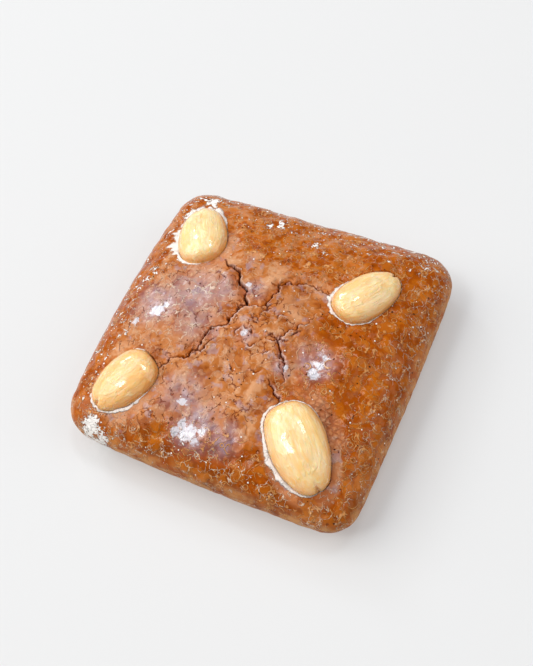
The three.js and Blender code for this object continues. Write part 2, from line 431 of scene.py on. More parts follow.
LEFT_ARM = (
    (-18.4, -20.1), (-15.7, -16.3), (-12.8, -15.7), (-10.9, -10.1), (-8.5, -4.5), (-6.6, -3.7), JUNCTION,
)
RIGHT_ARM = (JUNCTION, (-2.7, 3.6), (1.9, 9.7), (0.9, 12.1), (6.2, 14.2), (10.1, 14.7), (13.9, 14.2))
BACK_ARM = ((-16, 15), (-13.6, 13), (-10.1, 12.1), (-9.4, 10.2), (-5.9, 6.1), JUNCTION)
CRACKS = (
    crack(1.8, 3.6, 1, (0.35, 1.0), LEFT_ARM),
    crack(1.3, 2.8, 1, (1.0, 0.25), RIGHT_ARM),
    crack(1.7, 3.2, -1, (0.25, 0.8), BACK_ARM),
    crack(0.9, 1.4, -1, (0.2, 0.3), ((3.1, -2.4), FORK, (9.9, -7.2), (11.3, -8.4), (12.7, -13.4))),
    crack(0.8, 1.2, -1, (0.2, 0.5), ((8.7, -13.3), (10.8, -15.1), (12.5, -16.7), (14.2, -22))),
    crack(0.8, 1.4, 1, (0.8, 0.2), (FORK, (10.4, 1), (10.3, 2.5), (12.9, 7.8))),
    crack(0.9, 1.5, 1, (0.6, 0.2), ((-11.7, -13.9), (-9.6, -12.8), (-8.9, -10.3), (-7.5, -7.8))),
    crack(2.2, 1.2, -1, (0.2, 0.4), ((-4.3, -0.9), (-2.7, -2.7), (-1, -5), (0.6, -8.4)), slot=0.1),
)
print(len(CRACKS), "cracks")

# %% [markdown]
# Jags and small tears
#
# A torn edge is never straight, so each stretch of a crack is broken in two with a sideways jag, again and
# again. The first round uses the solid's own run of random numbers, so that the main jags fall where its
# cracks have them. Between the cracks the skin has many short tears, drawn from a seeded run of their own.

# %% Break the cracks and add small tears
JAG = 0.16
FINE_JAG = 0.32
FINE_ROUNDS = 3
TEAR_COUNT = 22
TEAR_MIDDLE = (2.5, -4.0)
TEAR_SPREAD = (13.0, 15.0)
TEAR_LENGTHS = (1.6, 4.2)
TEAR_BEND = 0.7
TEAR_WIDTH = 0.6
TEAR_DEPTH = 0.6
TEAR_ENDS = (0.2, 0.2)
SOLID_SEED = 7
FINE_SEED = 23
RANDOM_FACTOR = 1664525
RANDOM_STEP = 1013904223
RANDOM_RANGE = 2**32


def seeded_random(seed):
    """An endless run of random numbers from 0 to 1."""
    state = seed
    while True:
        state = (state * RANDOM_FACTOR + RANDOM_STEP) % RANDOM_RANGE
        yield state / RANDOM_RANGE


def break_stretches(points, throw, draws):
    """Breaks each stretch of a line in two with a sideways jag."""
    broken = [points[0]]
    for start, end in zip(points, points[1:]):
        run = end - start
        sideways = np.array([-run[1], run[0]]) * throw * (2 * next(draws) - 1)
        broken.extend([start + run / 2 + sideways, end])
    return broken


def small_tear(draws):
    """A short bent tear somewhere in the middle, where the crown stretched without parting."""
    swing = [next(draws) + next(draws) - 1 for axis in range(2)]
    start = np.array(TEAR_MIDDLE) + np.array(TEAR_SPREAD) * swing
    heading = 2 * math.pi * next(draws)
    length = TEAR_LENGTHS[0] + (TEAR_LENGTHS[1] - TEAR_LENGTHS[0]) * next(draws)
    run = length * np.array([math.cos(heading), math.sin(heading)])
    sideways = np.array([-run[1], run[0]]) * (next(draws) - 0.5) * TEAR_BEND
    rolled = 1 if next(draws) < 0.5 else -1
    return crack(TEAR_WIDTH, TEAR_DEPTH, rolled, TEAR_ENDS, (start, start + run / 2 + sideways, start + run))


solid_draws = seeded_random(SOLID_SEED)
fine_draws = seeded_random(FINE_SEED)
openings = CRACKS + tuple(small_tear(fine_draws) for number in range(TEAR_COUNT))
for opening in openings:
    line = break_stretches([np.array(p, float) for p in opening["route"]], JAG, solid_draws)
    for round_number in range(FINE_ROUNDS):
        line = break_stretches(line, FINE_JAG, fine_draws)
    opening["line"] = np.array(line)
print(len(openings), "cracks and tears")

# %% [markdown]
# The biscuit's skin
#
# A spun profile would crowd its mesh lines in the middle and thin them out at the corners. A square grid
# suits a square biscuit better: its rings become smaller and smaller copies of the outline, set at the height
# that the section gives. The rim of the grid is then extruded down round the heel, and the base is closed.

# %% Fold a square grid into the pillow
GRID_STEPS = 250
HEEL_STEPS = 11


def pillow_points(grid):
    """Where the points of a square grid from -1 to 1 go on the plain pillow."""
    u, v = grid[:, 0], grid[:, 1]
    ring = np.maximum(np.abs(u), np.abs(v))
    safe = np.maximum(ring, TINY)
    sides = (
        (v >= ring - TINY, -u / safe),
        (u <= -ring + TINY, -v / safe),
        (v <= -ring + TINY, u / safe),
        (u >= ring - TINY, v / safe),
    )
    plan = np.zeros((len(grid), 2))
    for k, (here, along) in enumerate(sides):
        plan[here] = side_lines[k]((along[here] + 1) / 2)
    section = crown_line(ring)
    return np.concatenate([plan * section[:, :1] / HALF, section[:, 1:]], axis=1)


def fold_pillow():
    shape = bmesh.new()
    bmesh.ops.create_grid(shape, x_segments=GRID_STEPS, y_segments=GRID_STEPS, size=1)
    grid = points_of(shape)
    move_points(shape, pillow_points(grid[:, :2] / grid.max()))
    rim = [e for e in shape.edges if e.is_boundary]
    reach = HALF
    for radius, height in heel_line(np.linspace(0, 1, HEEL_STEPS + 1))[1:]:
        grown = bmesh.ops.extrude_edge_only(shape, edges=rim)["geom"]
        for vert in (g for g in grown if isinstance(g, bmesh.types.BMVert)):
            vert.co.x *= radius / reach
            vert.co.y *= radius / reach
            vert.co.z = height
        rim = [g for g in grown if isinstance(g, bmesh.types.BMEdge) and g.is_boundary]
        reach = radius
    bmesh.ops.contextual_create(shape, geom=rim)
    bmesh.ops.recalc_face_normals(shape, faces=shape.faces)
    return shape


pillow = fold_pillow()
print("pillow:", len(pillow.verts), "points,", len(pillow.faces), "faces")

# %% [markdown]
# More mesh where it is needed
#
# The cracks and the seams round the almonds are under two millimetres wide. A grid fine enough for them all
# over would be far too heavy, so only the edges near them are cut in two.

# %% Refine the mesh along the cracks and round the almonds
CRACK_BAND = 0.8
SEAM_BAND = 1.0
TOP_LEVEL = WAIST_HEIGHT + 2
SKIN_SEARCH = 9.0
FAR = 99.0


def crack_reading(opening, plan):
    """For each plan point: distance to the crack, how open the crack is there, and which side of it."""
    line = opening["line"]
    starts, runs = line[:-1], np.diff(line, axis=0)
    offset = plan[:, None, :] - starts[None]
    share = np.clip((offset * runs).sum(-1) / (runs**2).sum(-1), 0, 1)
    gap = offset - share[..., None] * runs
    away = np.linalg.norm(gap, axis=-1)
    nearest = away.argmin(axis=1)
    rows = np.arange(len(plan))
    along = (nearest + share[rows, nearest]) / len(runs)
    first, last = opening["ends"]
    swell = np.sin(np.pi * along) * (1 - max(first, last))
    openness = np.minimum(1, first * (1 - along) + last * along + swell)
    across = runs[nearest, 0] * gap[rows, nearest, 1] - runs[nearest, 1] * gap[rows, nearest, 0]
    return away[rows, nearest], openness, np.sign(across)


def distance_to_cracks(plan):
    gaps = [crack_reading(opening, plan)[0] - opening["width"] / 2 for opening in openings]
    return np.min(gaps, axis=0)


def distance_to_almonds(points):
    """Distance from each point to the nearest almond's skin, and which almond that is."""
    found = np.full(len(points), FAR)
    which = np.zeros(len(points), int)
    for number, name in enumerate(ALMOND_NAMES):
        middle, half = places[name]["middle"], places[name]["half"]
        near = np.linalg.norm(points - middle, axis=1) < half[0] + SKIN_SEARCH
        for row in np.nonzero(near)[0]:
            away = skins[name].find_nearest(Vector(points[row]))[3]
            if away < found[row]:
                found[row], which[row] = away, number
    return found, which


def refine(shape):
    points = points_of(shape)
    fine = distance_to_cracks(points[:, :2]) < CRACK_BAND
    fine |= distance_to_almonds(points)[0] < SEAM_BAND
    fine &= points[:, 2] > TOP_LEVEL
    shape.verts.index_update()
    edges = [e for e in shape.edges if fine[e.verts[0].index] and fine[e.verts[1].index]]
    bmesh.ops.subdivide_edges(shape, edges=edges, cuts=1, use_grid_fill=True)


refine(pillow)
print("refined:", len(pillow.verts), "points,", len(pillow.faces), "faces")

# %% [markdown]
# Swells, lumps and billows
#
# Every hollow and swell is a height in millimetres, added up point by point. The broad swells and the dips
# round the almonds are the solid's own. The glaze adds lumps, which are noise at three sizes, and billows:
# soft pillows of skin with a crease between neighbours. They could be sculpted by hand, but a formula covers
# the whole crown evenly.

# %% Heights of the swells, lumps and billows
# Each swell: its rise, its wavelength, its heading and its phase.
SWELLS = ((0.35, 31, 0.4, 1.1), (0.28, 23, 1.9, 2.7), (0.18, 14, 2.8, 0.6))
DIMPLE_DEPTH = 0.9
DIMPLE_REACH = 5.0
LUMPS = ((7.5, 0.30), (3.2, 0.17), (1.5, 0.08))
BILLOW_SIZE = 3.4
BILLOW_BEND = 0.35
BILLOW_SHIFTS = ((11.3, 0, 0), (0, 17.9, 0), (0, 0, 23.7))
BILLOW_WAVES = 1.7
BILLOW_RISE = 0.5


def smooth(low, high, value):
    share = np.clip((value - low) / (high - low), 0, 1)
    return share * share * (3 - 2 * share)


def plan_distance_to_almond(plan, place):
    """Distance in plan to an almond's edge, negative inside it, as the solid's dimples use it."""
    heading = place["axes"][0][:2] / np.linalg.norm(place["axes"][0][:2])
    offset = plan - place["middle"][:2]
    along = offset @ heading / place["half"][0]
    across = offset @ np.array([-heading[1], heading[0]]) / place["half"][1]
    return (np.hypot(along, across) - 1) * (place["half"][0] + place["half"][1]) / 2


def broad_relief(plan):
    height = np.zeros(len(plan))
    for rise, wavelength, heading, phase in SWELLS:
        along = plan @ np.array([math.cos(heading), math.sin(heading)])
        height += rise * np.sin(2 * math.pi * along / wavelength + phase)
    dip = np.zeros(len(plan))
    for place in places.values():
        away = np.maximum(0, plan_distance_to_almond(plan, place)) / DIMPLE_REACH
        dip = np.maximum(dip, DIMPLE_DEPTH * np.exp(-away * away))
    return height - dip


def lumps(points):
    """Uneven glaze: the sum of noise at a few sizes."""
    height = np.zeros(len(points))
    for size, rise in LUMPS:
        height += rise * np.array([noise.noise(Vector(p) / size) for p in points])
    return height


def billows(points):
    """Soft pillows of skin, with a crease between neighbours, pushed about by noise along each axis."""
    height = np.zeros(len(points))
    for row, point in enumerate(points):
        place = Vector(point) / BILLOW_SIZE
        push = [noise.noise(place * BILLOW_WAVES + Vector(shift)) for shift in BILLOW_SHIFTS]
        place += BILLOW_BEND * Vector(push)
        height[row] = -BILLOW_RISE * noise.voronoi(place)[0][0] ** 2
    return height


print("swells run from %.2f mm" % broad_relief(points_of(pillow)[:, :2]).min())

# %% [markdown]
# Cracks and pockets
#
# A crack isn't a plain groove. One side has rolled under and falls away softly, the other is a torn lip that
# stands up a little, and a narrow dark slot lies between. Under each almond the dough has a pocket: a ray
# cast upwards finds the almond's underside, and the skin is pressed to just below it. A few smooth pools of
# glaze stay calmer than the rest.

# %% Raise the relief
POCKET_GAP = 0.3
POCKET_SEARCH = 1.0
CORE_SHARE = 0.12
CORE_LEAST = 0.05
CORE_OUTER = 1.7
CORE_INNER = 0.5
SLOT_SHADE_DEPTH = 0.8
ROLL_DROP = 1.0
ROLL_SHARE = 1.6
ROLL_PARTS = 3
SLOPE_POWER = 0.5
FALL_POWER = 0.7
LIP_HEIGHT = 0.25
LIP_REACH = 0.8
LIP_BAND = 0.3
BASE_FADE = 2.5
WALL_SHARE = 0.35
WALL_LEVELS = (10, 17)
CALM = 0.4
# Each spot: its place, its radius and its strength.
SMOOTH_POOLS = (
    (-4.0, -32.0, 4.5, 1.0), (-8.5, -25.5, 3.0, 0.8), (19.2, -6.5, 4.0, 1.0), (-27.5, -3.5, 4.5, 0.8),
)


def soft_spots(plan, spots):
    """Round spots that fade outwards, each given as x, y, radius and strength."""
    field = np.zeros(len(plan))
    for x, y, radius, strength in spots:
        away = np.linalg.norm(plan - np.array([x, y]), axis=1)
        field = np.maximum(field, strength * np.exp(-((away / radius) ** 2)))
    return field


def crack_relief(plan):
    """The height that the cracks add, and three masks: painted shade in the slot, its rolled side and its
    torn lip.
    """
    sink, drop, lift, dark, slope, torn = np.zeros((6, len(plan)))
    for opening in openings:
        away, openness, side = crack_reading(opening, plan)
        core = opening["width"] * CORE_SHARE * openness + CORE_LEAST
        deep = smooth(core * CORE_OUTER, core * CORE_INNER, away) * opening["slot"]
        rolled = (side == opening["rolled"]) * openness
        edge = (side != opening["rolled"]) * openness
        fall = 1 - smooth(0, opening["width"] * ROLL_SHARE, away)
        sink = np.maximum(sink, opening["depth"] * openness * deep)
        drop = np.maximum(drop, min(ROLL_DROP, opening["depth"] / ROLL_PARTS) * rolled * fall)
        lift = np.maximum(lift, LIP_HEIGHT * edge * np.exp(-((away / LIP_REACH) ** 2)))
        # Painted shade: the slot is darkened where the crack is deep.
        dark = np.maximum(dark, deep * smooth(0, SLOT_SHADE_DEPTH, opening["depth"] * openness))
        slope = np.maximum(slope, rolled**SLOPE_POWER * fall**FALL_POWER)
        torn = np.maximum(torn, edge * np.exp(-(((away - core * CORE_OUTER) / LIP_BAND) ** 2)))
    return lift - drop - sink, {"crack": dark, "crack_slope": slope, "crack_lip": torn}


def press_pockets(points):
    """Lowers the points under each almond to just below its underside."""
    pressed = points.copy()
    for name in ALMOND_NAMES:
        middle, half = places[name]["middle"], places[name]["half"]
        near = np.linalg.norm(points[:, :2] - middle[:2], axis=1) < half[0] + POCKET_SEARCH
        for row in np.nonzero(near & (points[:, 2] > TOP_LEVEL))[0]:
            x, y, z = points[row]
            hit = skins[name].ray_cast(Vector((x, y, 0)), Vector((0, 0, 1)))[0]
            if hit is not None:
                pressed[row, 2] = min(z, hit.z - POCKET_GAP)
    return pressed


def raise_relief(shape):
    shape.normal_update()
    points = points_of(shape)
    normals = np.array([v.normal for v in shape.verts])
    plan = points[:, :2].copy()
    top = smooth(WAIST_HEIGHT, WAIST_HEIGHT + SHOULDER_PULL, points[:, 2])
    above_base = smooth(0.0, BASE_FADE, points[:, 2])
    points[:, 2] += top * broad_relief(plan)
    calm = 1 - CALM * soft_spots(plan, SMOOTH_POOLS)
    quiet = calm * above_base * (WALL_SHARE + (1 - WALL_SHARE) * smooth(*WALL_LEVELS, points[:, 2]))
    points += normals * ((lumps(points) + billows(points)) * quiet)[:, None]
    height, crack_masks = crack_relief(plan)
    points[:, 2] += top * height
    return press_pockets(points), plan, crack_masks


points, plan, masks = raise_relief(pillow)
move_points(pillow, points)
print("relief runs from %.1f to %.1f mm" % (points[:, 2].min(), points[:, 2].max()))

# %% [markdown]
# Where the glaze changes
#
# The glaze is thick and amber at the back, the right and the edges, and thin over paler skin in the middle
# and on the left. It blooms to a milky film in places, painted lilac partly as sheen of the lamps in the
# glaze, dried in a web of pale lines near the sides, has many pits at the back, and left a bare tan collar
# beside some almonds. A mask could be painted by hand. Here each is a number from 0 to 1 on the points of the
# mesh, so that it follows the almonds and the edges.

# %% Mark the glaze
# Each band: along X (0) or Y (1), where it fades in from and to, and its strength.
AMBER_BANDS = ((1, 10, 24, 0.95), (0, 8, 20, 1.0), (1, -25, -35, 1.0))
AMBER_RIM = (0.72, 0.92)
AMBER_LEAST = 0.08
DRY_BANDS = ((0, 20, 36, 1.0), (1, -20, -36, 1.0))
DRY_LEAST = 0.35
WEBBED_BANDS = ((0, 27, 38, 0.8), (1, -31, -37, 1.0), (1, 11, 18, 0.3))
PITTED_BANDS = ((1, 10, 18, 1.0), (0, 28, 14, 1.0))
# Painted shade: bands that darken the front edge.
FRONT_SHADE_BANDS = ((1, -27, -36, 1.0), (0, -22, -2, 1.0))
CROWN_LEVELS = (8, 14)
BARE = ((-19, -28, 9, 0.95), (-27, -31, 6, 0.8))
SCALY = ((-24, -3, 11, 1.0), (-15, 5, 8, 0.9), (-14, -6, 7, 0.8))
# Milky bloom, its lilac partly painted sheen of the lamps; each spot: place, radius and strength.
BLOOM_AND_SHEEN_SPOTS = (
    (-27, -3, 8, 0.8), (-19, 3, 10, 0.75), (-12, 6, 6, 0.65), (-14, -6, 8, 0.6), (-3, -30, 7, 0.95),
    (5, -31, 5, 0.85), (-9, -24, 7, 0.8), (18, -5, 6, 0.9), (11, -10, 3, 0.8), (-4, 8, 4, 0.8),
    (-1, -5, 3, 0.8),
)
# Each collar: its almond, the bearing it faces, how far round it goes, and its width.
WRINKLED = ("almond_front", 62, 45, 6.5)
COLLARS = (
    WRINKLED,
    ("almond_front", 0, 50, 3.5),
    ("almond_front", -110, 48, 3.2),
    ("almond_left", -40, 50, 4.5),
    ("almond_back", -25, 45, 4.5),
)
COLLAR_FADE = 0.6


def bands(rows):
    return [strength * smooth(low, high, plan[:, axis]) for axis, low, high, strength in rows]


def turn_from(offset, towards):
    """How far each offset's bearing is from a given one, in degrees."""
    bearing = np.degrees(np.arctan2(offset[:, 1], offset[:, 0]))
    return (bearing - towards + 180) % 360 - 180


def collar(name, towards, spread, reach):
    """A band beside one almond, on the side that faces a bearing."""
    turn = turn_from(plan - places[name]["middle"][:2], towards)
    away = plan_distance_to_almond(plan, places[name])
    return np.exp(-((turn / spread) ** 4)) * smooth(reach, COLLAR_FADE * reach, away)


crown = smooth(*CROWN_LEVELS, points[:, 2])
rim_glaze = smooth(*AMBER_RIM, np.abs(plan).max(axis=1) / HALF)
glazed = np.max(bands(AMBER_BANDS) + [rim_glaze], axis=0) * (1 - soft_spots(plan, BARE))
masks["amber"] = AMBER_LEAST + (1 - AMBER_LEAST) * glazed
masks["dry"] = DRY_LEAST + (1 - DRY_LEAST) * np.max(bands(DRY_BANDS), axis=0)
masks["webbed"] = np.max(bands(WEBBED_BANDS), axis=0)
masks["pitted"] = crown * np.prod(bands(PITTED_BANDS), axis=0)
# Painted shade that darkens the front edge.
masks["deep"] = crown * np.prod(bands(FRONT_SHADE_BANDS), axis=0)
# Bloom mask: milky film whose lilac is partly painted sheen.
masks["bloom_and_sheen"] = soft_spots(plan, BLOOM_AND_SHEEN_SPOTS)
masks["scaly"] = soft_spots(plan, SCALY)
masks["wrinkled"] = collar(*WRINKLED)
masks["collar"] = np.max([collar(*row) for row in COLLARS], axis=0)
print("glaze masks:", ", ".join(masks))

# %% [markdown]
# Where the sugar dried
#
# White sugar dried in a ragged rim against each almond, widest on the sides that the glaze ran to. It also
# lies in splashes near the corners and as flakes at the back and left edges. On the smooth pools, painted
# white highlights stand where the wet glaze mirrors the lamps.
# A rim could have one even width, but streaks that point away from the almond look more like syrup that ran.

# %% Mark the sugar
# For each almond: bearings in degrees, with the width of the rim there.
RIM_WIDTHS = {
    "almond_right": ((-150, 1.2), (-80, 0.5)),
    "almond_back": ((-155, 2.6), (110, 2.4), (-105, 1.1)),
    "almond_left": ((-60, 1.1), (-130, 0.9), (110, 0.45)),
    "almond_front": ((-140, 1.4), (-100, 1.2), (165, 0.9), (110, 0.4)),
}
RIM_SPREAD = 42.0
RIM_LEAST = 0.1
RIM_SEARCH = 6.0
RIM_EDGES = (1.3, 0.6)
RIM_STREAKS = {"almond_right": 0.9, "almond_back": 0.9, "almond_left": 0.5, "almond_front": 0.45}
STREAK_WAVES = 8
# Painted highlight: white spots for lamps mirrored in the smooth pools; place, radius and strength.
HIGHLIGHT_SPOTS = (
    (-4.3, -32.2, 2.9, 1.0), (-6.5, -30.6, 1.6, 0.9), (-2.0, -33.8, 1.6, 0.8), (-7.3, -33.2, 1.8, 0.9),
    (-1.0, -31.0, 1.6, 0.9), (-8.4, -25.9, 1.8, 0.9), (-26.0, -5.2, 2.4, 1.0), (-24.4, -2.8, 1.5, 0.8),
    (-30.4, -9.4, 1.5, 0.9), (18.8, -8.0, 2.0, 1.0), (19.2, -5.4, 1.8, 0.95), (19.8, -2.8, 1.3, 0.9),
    (12.1, -9.8, 1.2, 0.9), (-6.2, 9.1, 1.3, 0.9), (-1.5, -4.6, 1.3, 0.9),
)
SPLASHED = (
    (-29.5, -38.0, 3.0, 1.1), (-26.0, -39.5, 2.2, 0.85), (-29.3, 34.0, 2.4, 0.95), (-33.4, 27.5, 1.9, 0.95),
    (-32.8, 19.0, 1.6, 0.95), (-33.4, 7.4, 1.5, 0.6), (-35.4, 33.2, 1.8, 0.7),
)
FLAKED = (
    (-7.6, 32.3, 2.4, 2.0), (-10.4, 31.2, 1.8, 1.7), (4.0, 28.6, 2.0, 1.7), (7.8, 25.8, 1.6, 1.5),
    (3.2, 36.2, 2.4, 1.3), (-14.0, 37.5, 2.6, 1.2), (14.0, 37.5, 2.4, 1.2), (-23.5, -39.0, 2.6, 1.1),
    (-5.0, -36.0, 2.5, 0.9), (-31.5, -12.5, 2.4, 1.1), (-33.5, 7.0, 2.6, 1.2),
)
FLAKED_BANDS = ((1, 22, 37, 0.8), (0, -26, -35, 0.7))


def sugar_rims():
    away, which = distance_to_almonds(points)
    rim = np.zeros(len(plan))
    for number, name in enumerate(ALMOND_NAMES):
        here = (which == number) & (away < RIM_SEARCH)
        offset = plan[here] - places[name]["middle"][:2]
        width = np.full(here.sum(), RIM_LEAST)
        for towards, most in RIM_WIDTHS[name]:
            width = np.maximum(width, most * np.exp(-((turn_from(offset, towards) / RIM_SPREAD) ** 2)))
        headings = offset / np.linalg.norm(offset, axis=1, keepdims=True)
        streaks = np.array([noise.noise(Vector((x, y, number)) * STREAK_WAVES) for x, y in headings])
        rim[here] = smooth(*RIM_EDGES, away[here] / (width * (1 + RIM_STREAKS[name] * streaks)))
    return rim


masks["sugar_rim"] = sugar_rims()
# Painted highlight on the smooth pools.
masks["painted_highlight"] = soft_spots(plan, HIGHLIGHT_SPOTS)
masks["splash"] = soft_spots(plan, SPLASHED)
masks["flaked"] = crown * np.max(bands(FLAKED_BANDS) + [soft_spots(plan, FLAKED)], axis=0)

biscuit = make_piece(pillow, "biscuit_crust")
for name, mask in masks.items():
    store(biscuit, name, mask)
    print(name, "covers %.1f %% of the points" % (100 * (mask > 0.5).mean()))
biscuit.data.calc_loop_triangles()
print("biscuit:", len(biscuit.data.loop_triangles), "triangles")

# %% [markdown]
# Tools for the materials
#
# A material is a board of nodes joined by wires. The same few nodes come again and again, so each gets a
# short call here that places the node, wires it up and gives back its output.

# %% Short calls for shader nodes
LINE_CORE = 0.3


def colour(red, green, blue):
    """A screen colour from 0 to 255, as the linear light that a shader works in."""
    parts = [c / 255 for c in (red, green, blue)]
    return tuple(c / 12.92 if c <= 0.04045 else ((c + 0.055) / 1.055) ** 2.4 for c in parts) + (1.0,)


class Board:
    """The node tree of one material or group."""

    def __init__(self, tree):
        self.tree = tree

    def add(self, kind, settings=None, inputs=None):
        node = self.tree.nodes.new(kind)
        for name, value in (settings or {}).items():
            setattr(node, name, value)
        for name, value in (inputs or {}).items():
            self.feed(node.inputs[name], value)
        return node

    def feed(self, socket, value):
        if isinstance(value, bpy.types.NodeSocket):
            self.tree.links.new(value, socket)
        else:
            socket.default_value = value

    def math(self, operation, first, second=0.0, third=0.0):
        inputs = {0: first, 1: second, 2: third}
        return self.add("ShaderNodeMath", {"operation": operation}, inputs).outputs[0]

    def vector(self, operation, first, second):
        inputs = {0: first, 1: second}
        return self.add("ShaderNodeVectorMath", {"operation": operation}, inputs).outputs[0]

    def millimetres(self):
        """The place on the object, in millimetres."""
        return self.vector("MULTIPLY", self.add("ShaderNodeTexCoord").outputs["Object"], (1 / MM,) * 3)

    def mask(self, name):
        return self.add("ShaderNodeAttribute", {"attribute_name": name}).outputs["Fac"]

    def third(self, place):
        """The Z of a place."""
        return self.add("ShaderNodeSeparateXYZ", None, {0: place}).outputs[2]

    def times(self, first, second):
        return self.math("MULTIPLY", first, second)

    def plus(self, value, layer, rise):
        """A value with a share of a layer added."""
        return self.math("MULTIPLY_ADD", layer, rise, value)

    def either(self, *values):
        """The largest of some values."""
        largest = values[0]
        for value in values[1:]:
            largest = self.math("MAXIMUM", largest, value)
        return largest

    def outside(self, value, mask):
        """The value, fading to nothing where the mask is 1."""
        return self.times(value, self.math("SUBTRACT", 1.0, mask))

    def nudged(self, value, push, reach):
        """A value moved up and down by a noise that runs from 0 to 1."""
        return self.plus(value, self.math("SUBTRACT", push, 0.5), reach)

    def step(self, value, low, high, start=0.0, end=1.0):
        """A smooth change from start to end as the value goes from low to high."""
        inputs = {"Value": value, "From Min": low, "From Max": high, "To Min": start, "To Max": end}
        return self.add("ShaderNodeMapRange", {"interpolation_type": "SMOOTHSTEP"}, inputs).outputs["Result"]

    def noise(self, place, size, detail=2.0, roughness=0.5, distortion=0.0, output="Fac"):
        inputs = {"Vector": place, "Scale": 1 / size, "Detail": detail}
        inputs.update({"Roughness": roughness, "Distortion": distortion})
        return self.add("ShaderNodeTexNoise", None, inputs).outputs[output]

    def patches(self, place, size, low, high, detail=1.0):
        """Soft patches of noise about a given size: 0 below one level and 1 above the other."""
        return self.step(self.noise(place, size, detail), low, high)

    def cells(self, place, size, feature="F1"):
        """A scattered pattern of cells about a given size apart."""
        inputs = {"Vector": place, "Scale": 1 / size}
        return self.add("ShaderNodeTexVoronoi", {"feature": feature}, inputs).outputs

    def net(self, place, size, outer, inner):
        """Lines between cells, fading from their outer to their inner half width."""
        return self.step(self.cells(place, size, "DISTANCE_TO_EDGE")["Distance"], outer, inner)

    def contour(self, field, level, half_width):
        """A thin line along the places where a field has one level."""
        off_line = self.math("ABSOLUTE", self.math("SUBTRACT", field, level))
        return self.step(off_line, half_width, LINE_CORE * half_width)

    def wander(self, place, size, reach):
        """The place pushed about by noise, so that a regular pattern turns uneven."""
        push = self.vector("SUBTRACT", self.noise(place, size, output="Color"), (0.5, 0.5, 0.5))
        return self.vector("ADD", place, self.vector("MULTIPLY", push, (reach,) * 3))

    def blend(self, share, first, second):
        inputs = {0: share, 6: first, 7: second}
        return self.add("ShaderNodeMix", {"data_type": "RGBA"}, inputs).outputs[2]

    def lay(self, paint, tint, mask, strength):
        """The paint with a tint laid over it where the mask is 1."""
        return self.blend(self.times(mask, strength), paint, tint)

    def bump(self, height, depth, strength=1.0):
        """A normal that follows a height, for a depth in metres."""
        inputs = {"Strength": strength, "Distance": depth, "Height": height}
        return self.add("ShaderNodeBump", None, inputs).outputs["Normal"]


def new_material(name):
    material = bpy.data.materials.new(name)
    material.use_nodes = True
    return material, Board(material.node_tree), material.node_tree.nodes["Principled BSDF"]


print("node calls are ready")

# %% [markdown]
# Dots and bubbles
#
# Pores, specks of sugar and painted glints, and almond spots are all dots scattered one to a cell. Burst
# bubbles leave a disc of thin glaze with a raised rim. Both are node groups, so that each is built once and
# placed wherever it is needed with its own sizes.

# %% Build the shared patterns
DOT_LEAST = 0.4
DOT_SPREAD = 0.6
DOT_CORE = 0.5
BUBBLE_LEAST = 0.16
BUBBLE_SPREAD = 0.3
DISC_EDGE = (0.02, -0.05)


def new_group(name, size_name, outputs):
    """An empty group whose inputs are a place, a cell size, one more size and a share of taken cells."""
    tree = bpy.data.node_groups.new(name, "ShaderNodeTree")
    tree.interface.new_socket("Place", in_out="INPUT", socket_type="NodeSocketVector")
    for label in ("Cell", size_name, "Share"):
        tree.interface.new_socket(label, in_out="INPUT", socket_type="NodeSocketFloat")
    for label in outputs:
        tree.interface.new_socket(label, in_out="OUTPUT", socket_type="NodeSocketFloat")
    board = Board(tree)
    return board, board.add("NodeGroupInput").outputs, board.add("NodeGroupOutput").inputs


def scattered(board, given):
    """For the nearest cell: the distance to its middle, a random number, and whether it is taken."""
    scale = board.math("DIVIDE", 1.0, given["Cell"])
    cells = board.add("ShaderNodeTexVoronoi", None, {"Vector": given["Place"], "Scale": scale})
    pick = board.add("ShaderNodeSeparateColor", None, {"Color": cells.outputs["Color"]})
    taken = board.math("LESS_THAN", pick.outputs[0], given["Share"])
    return cells.outputs["Distance"], pick.outputs[1], taken


def dots_group():
    """Round dots, one in some of the cells."""
    board, given, result = new_group("scattered_dots", "Radius", ("Dot",))
    distance, random, taken = scattered(board, given)
    size = board.plus(DOT_LEAST, random, DOT_SPREAD)
    radius = board.math("DIVIDE", board.times(size, given["Radius"]), given["Cell"])
    dot = board.step(board.math("DIVIDE", distance, radius), 1.0, DOT_CORE)
    board.feed(result["Dot"], board.times(dot, taken))
    return board.tree


def bubbles_group():
    """Discs of many sizes, each with a thin rim."""
    board, given, result = new_group("burst_bubbles", "Thickness", ("Disc", "Rim"))
    distance, random, taken = scattered(board, given)
    radius = board.plus(BUBBLE_LEAST, random, BUBBLE_SPREAD)
    off_rim = board.math("SUBTRACT", distance, radius)
    width = board.math("DIVIDE", given["Thickness"], given["Cell"])
    rim = board.step(board.math("DIVIDE", board.math("ABSOLUTE", off_rim), width), 1.0, LINE_CORE)
    board.feed(result["Disc"], board.times(board.step(off_rim, *DISC_EDGE), taken))
    board.feed(result["Rim"], board.times(rim, taken))
    return board.tree


GROUPS = {"dots": dots_group(), "bubbles": bubbles_group()}


def pattern(board, name, **inputs):
    """Places one of the shared patterns on a board and gives back its outputs."""
    node = board.add("ShaderNodeGroup", {"node_tree": GROUPS[name]})
    for label, value in inputs.items():
        board.feed(node.inputs[label], value)
    return node.outputs


print("patterns:", ", ".join(GROUPS))

# %% [markdown]
# The crust's base
#
# Baked honey dough is a warm brown, deeper and more orange where the glaze is thick and pinker where it is
# thin. One flat colour would look like plastic, so amber pools and bare skin each have three soft tones that
# run into one another, with pits at the back. Low on the walls the dough is paler and dry.

